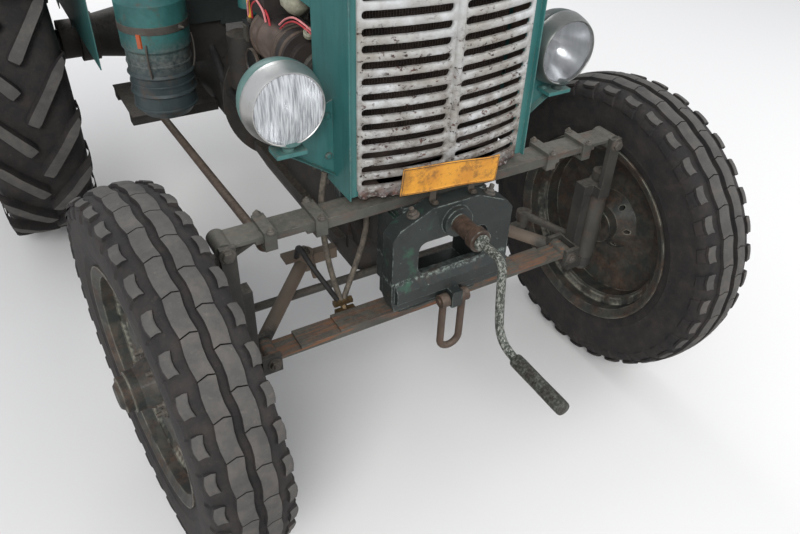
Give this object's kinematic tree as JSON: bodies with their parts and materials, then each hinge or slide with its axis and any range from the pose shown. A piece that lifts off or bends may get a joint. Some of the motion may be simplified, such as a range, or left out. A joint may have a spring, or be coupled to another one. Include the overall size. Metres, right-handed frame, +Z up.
{
  "type": "vintage wheeled farm tractor",
  "caption": "Vintage wheeled farm tractor with a slotted upright grille, twin transverse leaf springs in front, an open-sided engine and rounded rear fenders.",
  "frame": {"origin": "on the ground under the middle of the whole tractor's box", "axes": "+Z up, +Y towards the rear, +X towards the tractor's left, bonnet towards -Y"},
  "size_m": [1.776, 2.7205, 1.75],
  "materials": {
    "teal_paint": "satin",
    "green_paint": "worn",
    "grille_paint": "chipped",
    "plate_paint": "satin",
    "engine_iron": "oily",
    "rusty_steel": "rusty",
    "bare_steel": "worn",
    "spring_steel": "dusty",
    "tyre_rubber": "dull",
    "wheel_paint": "worn",
    "lamp_glass": "fluted",
    "lamp_metal": "satin",
    "black_plastic": "dull"
  },
  "bodies": {
    "chassis": {"engine_block": "engine_iron", "cylinder_head": "engine_iron", "manifold": "rusty_steel", "injection_pump": "engine_iron", "dynamo": "rusty_steel", "fan": "engine_iron", "radiator": "engine_iron", "radiator_shell": "teal_paint", "grille": "grille_paint", "number_plate": "plate_paint", "lamp_brackets": "teal_paint", "headlamps": "lamp_metal", "lamp_lenses": "lamp_glass", "bonnet": "teal_paint", "fuel_tank": "teal_paint", "dash": "teal_paint", "air_cleaner": "teal_paint", "front_bracket": "green_paint", "leaf_springs": "spring_steel", "kingpin_carriers": "engine_iron", "steering_box": "engine_iron", "transmission": "engine_iron", "rear_axle": "engine_iron", "fenders": "teal_paint", "footplates": "engine_iron", "seat": "black_plastic", "drawbar": "engine_iron", "controls": "engine_iron"},
    "knuckle_right": {"knuckle_right": "engine_iron"},
    "knuckle_left": {"knuckle_left": "engine_iron"},
    "front_wheel_right": {"front_wheel_right": "wheel_paint", "front_tyre_right": "tyre_rubber"},
    "front_wheel_left": {"front_wheel_left": "wheel_paint", "front_tyre_left": "tyre_rubber"},
    "rear_wheel_right": {"rear_wheel_right": "wheel_paint", "rear_tyre_right": "tyre_rubber"},
    "rear_wheel_left": {"rear_wheel_left": "wheel_paint", "rear_tyre_left": "tyre_rubber"},
    "drag_link": {"drag_link": "rusty_steel"},
    "tie_rod": {"tie_rod": "spring_steel"},
    "drop_arm": {"drop_arm": "engine_iron"},
    "steering_wheel": {"steering_wheel": "black_plastic"},
    "starting_handle": {"starting_handle": "green_paint"},
    "tow_shackle": {"tow_shackle": "rusty_steel"},
    "belt_pulley": {"belt_pulley": "engine_iron"},
    "pto_shaft": {"pto_shaft": "bare_steel"}
  },
  "joints": [
    {"name": "front_steer_right", "type": "hinge", "parent": "chassis", "child": "knuckle_right", "pos_m": [-0.52, -0.8595, 0.487], "axis": [0, 0, 1], "range_deg": [-28.6, 21.4]},
    {"name": "front_steer_left", "type": "hinge", "parent": "chassis", "child": "knuckle_left", "pos_m": [0.52, -0.8595, 0.487], "axis": [0, 0, 1], "range_deg": [-28.6, 21.4]},
    {"name": "front_roll_right", "type": "hinge", "parent": "knuckle_right", "child": "front_wheel_right", "pos_m": [-0.63547, -0.8317, 0.427], "axis": [0.9959, 0.0906, 0], "continuous": true},
    {"name": "front_roll_left", "type": "hinge", "parent": "knuckle_left", "child": "front_wheel_left", "pos_m": [0.63108, -0.81744, 0.427], "axis": [0.9994, 0.0349, 0], "continuous": true},
    {"name": "rear_roll_right", "type": "hinge", "parent": "chassis", "child": "rear_wheel_right", "pos_m": [-0.746, 0.7255, 0.635], "axis": [1, 0, 0], "continuous": true},
    {"name": "rear_roll_left", "type": "hinge", "parent": "chassis", "child": "rear_wheel_left", "pos_m": [0.746, 0.7255, 0.635], "axis": [1, 0, 0], "continuous": true},
    {"name": "steering_wheel_turn", "type": "hinge", "parent": "chassis", "child": "steering_wheel", "pos_m": [-0.06, 0.5055, 1.365], "axis": [0.1901, 0.5464, 0.8157], "range_deg": [-514.8, 385.2]},
    {"name": "drop_arm_swing", "type": "hinge", "parent": "chassis", "child": "drop_arm", "pos_m": [-0.356, 0.1405, 0.8], "axis": [1, 0, 0], "range_deg": [-17.07, 12.78]},
    {"name": "drag_link_turn", "type": "hinge", "parent": "knuckle_right", "child": "drag_link", "pos_m": [-0.39003, -0.7912, 0.69], "axis": [0, 0, 1], "range_deg": [-22.73, 30.37]},
    {"name": "tie_rod_turn", "type": "hinge", "parent": "knuckle_right", "child": "tie_rod", "pos_m": [-0.48079, -0.65463, 0.4], "axis": [0, 0, 1], "range_deg": [-23.72, 31.7]},
    {"name": "handle_turn", "type": "hinge", "parent": "chassis", "child": "starting_handle", "pos_m": [0, -1.0245, 0.702], "axis": [0, -1, 0], "continuous": true},
    {"name": "shackle_swing", "type": "hinge", "parent": "chassis", "child": "tow_shackle", "pos_m": [0, -0.9605, 0.492], "axis": [1, 0, 0], "range_deg": [-75, 20]},
    {"name": "pulley_turn", "type": "hinge", "parent": "chassis", "child": "belt_pulley", "pos_m": [0.28, 0.1605, 0.66], "axis": [1, 0, 0], "continuous": true},
    {"name": "pto_turn", "type": "hinge", "parent": "chassis", "child": "pto_shaft", "pos_m": [0, 0.9755, 0.6], "axis": [0, 1, 0], "continuous": true}
  ],
  "couplings": [
    {"joint": "front_steer_left", "follows": "front_steer_right", "ratio": 1},
    {"joint": "steering_wheel_turn", "follows": "front_steer_right", "ratio": 18},
    {"joint": "drop_arm_swing", "follows": "front_steer_right", "ratio": 0.597},
    {"joint": "drag_link_turn", "follows": "front_steer_right", "ratio": -1.062},
    {"joint": "tie_rod_turn", "follows": "front_steer_right", "ratio": -1.1085}
  ]
}
